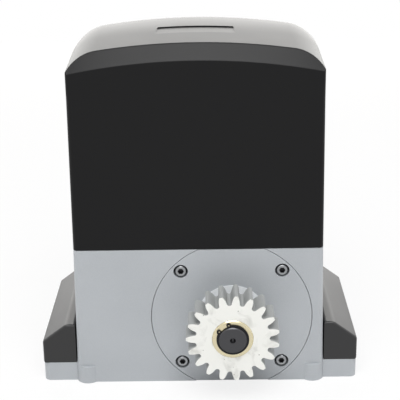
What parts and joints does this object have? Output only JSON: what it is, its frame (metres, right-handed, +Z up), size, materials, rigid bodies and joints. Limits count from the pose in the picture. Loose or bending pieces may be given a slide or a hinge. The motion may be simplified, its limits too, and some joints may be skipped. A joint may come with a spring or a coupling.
{
  "type": "sliding gate motor",
  "caption": "Sliding gate motor: cast base with slotted side flanges, moulded top cover, upright worm-gear motor, toothed drive pinion on the front and a keyed release lever at the back.",
  "frame": {"origin": "centre of the four foundation slots, on the underside of the base", "axes": "+X to the right as seen from the gate, +Y from the gate towards the house, +Z up"},
  "size_m": [0.2944, 0.2023, 0.3236],
  "materials": {
    "cast_base": "grey satin paint on die-cast aluminium",
    "cover_plastic": "satin moulded",
    "seal_rubber": "matte",
    "zinc_steel": "zinc plated",
    "dark_steel": "black oxide",
    "bright_steel": "ground",
    "brass": "turned",
    "bronze": "machined",
    "white_nylon": "moulded",
    "lamination_steel": "varnished",
    "cast_alloy": "as cast",
    "copper_enamel": "varnished winding",
    "board_laminate": "solder mask",
    "pale_plastic": "moulded",
    "green_plastic": "moulded",
    "relay_plastic": "moulded",
    "black_plastic": "moulded"
  },
  "bodies": {
    "housing": {"gearbox_base": "cast_base", "top_cover": "cover_plastic", "cover_gasket": "seal_rubber", "cover_screws": "zinc_steel", "left_foot_cover": "cover_plastic", "right_foot_cover": "cover_plastic", "levelling_screws": "dark_steel", "output_flange": "cast_base", "flange_screws": "dark_steel", "seal_cap": "zinc_steel", "output_seal": "seal_rubber", "front_shaft_bearing": "bright_steel", "rear_shaft_bearing": "bright_steel", "worm_lower_bearing": "bright_steel", "worm_upper_bearing": "bright_steel", "motor_top_bearing": "bright_steel", "worm_oil_seal": "seal_rubber", "motor_plate": "cast_alloy", "stator_core": "lamination_steel", "stator_windings": "copper_enamel", "end_bell": "cast_alloy", "motor_bolts": "zinc_steel", "board_carrier": "zinc_steel", "carrier_screws": "zinc_steel", "control_board": "board_laminate", "board_spacers": "pale_plastic", "board_screws": "zinc_steel", "terminal_blocks": "green_plastic", "relays": "relay_plastic", "fuse_holder": "black_plastic", "processor": "black_plastic", "start_capacitor": "pale_plastic", "capacitor_clip": "zinc_steel", "transformer_core": "lamination_steel", "transformer_coil": "copper_enamel", "limit_sensor": "black_plastic", "cable_grommet": "seal_rubber", "lever_pin": "bright_steel"},
    "motor_rotor": {"worm_shaft": "bright_steel", "rotor_core": "lamination_steel", "rotor_end_rings": "cast_alloy"},
    "worm_wheel": {"worm_wheel": "bronze"},
    "output_drive": {"output_shaft": "bright_steel", "pinion_key": "zinc_steel", "pinion_hub_insert": "brass", "drive_pinion": "white_nylon", "retaining_ring": "dark_steel", "spacer_sleeve": "bright_steel"},
    "clutch": {"clutch_sleeve": "bright_steel", "clutch_cross_pin": "bright_steel", "clutch_push_rod": "bright_steel"},
    "release_lever": {"release_lever": "black_plastic", "flap_rivet": "zinc_steel"},
    "lock_barrel": {"lock_barrel": "zinc_steel"},
    "keyhole_cover": {"keyhole_cover": "black_plastic"},
    "release_plunger": {"release_plunger": "bright_steel"}
  },
  "joints": [
    {"name": "motor_rotor_spin", "type": "hinge", "parent": "housing", "child": "motor_rotor", "pos_m": [-0.03, -0.008, 0.15], "axis": [0, 0, 1], "continuous": true},
    {"name": "worm_wheel_spin", "type": "hinge", "parent": "housing", "child": "worm_wheel", "pos_m": [0.03, -0.008, 0.0665], "axis": [0, -1, 0], "continuous": true},
    {"name": "output_spin", "type": "hinge", "parent": "housing", "child": "output_drive", "pos_m": [0.03, -0.073, 0.0665], "axis": [0, -1, 0], "continuous": true},
    {"name": "release_lever_hinge", "type": "hinge", "parent": "housing", "child": "release_lever", "pos_m": [0.03, 0.067, 0.0665], "axis": [0, 0, -1], "range_deg": [0, 90]},
    {"name": "plunger_slide", "type": "slide", "parent": "housing", "child": "release_plunger", "axis": [0, -1, 0], "range_m": [0, 0.006]},
    {"name": "clutch_slide", "type": "slide", "parent": "output_drive", "child": "clutch", "axis": [0, -1, 0], "range_m": [0, 0.006]},
    {"name": "lock_turn", "type": "hinge", "parent": "release_lever", "child": "lock_barrel", "pos_m": [-0.042, 0.067, 0.0665], "axis": [0, 1, 0], "range_deg": [0, 90]},
    {"name": "keyhole_cover_swing", "type": "hinge", "parent": "release_lever", "child": "keyhole_cover", "pos_m": [-0.042, 0.0785, 0.0805], "axis": [0, 1, 0], "range_deg": [0, 120]}
  ],
  "couplings": [
    {"joint": "worm_wheel_spin", "follows": "motor_rotor_spin", "ratio": 0.033333},
    {"joint": "output_spin", "follows": "motor_rotor_spin", "ratio": 0.033333},
    {"joint": "plunger_slide", "follows": "release_lever_hinge", "m_per_rad": 0.0038197},
    {"joint": "clutch_slide", "follows": "release_lever_hinge", "m_per_rad": 0.0038197}
  ]
}
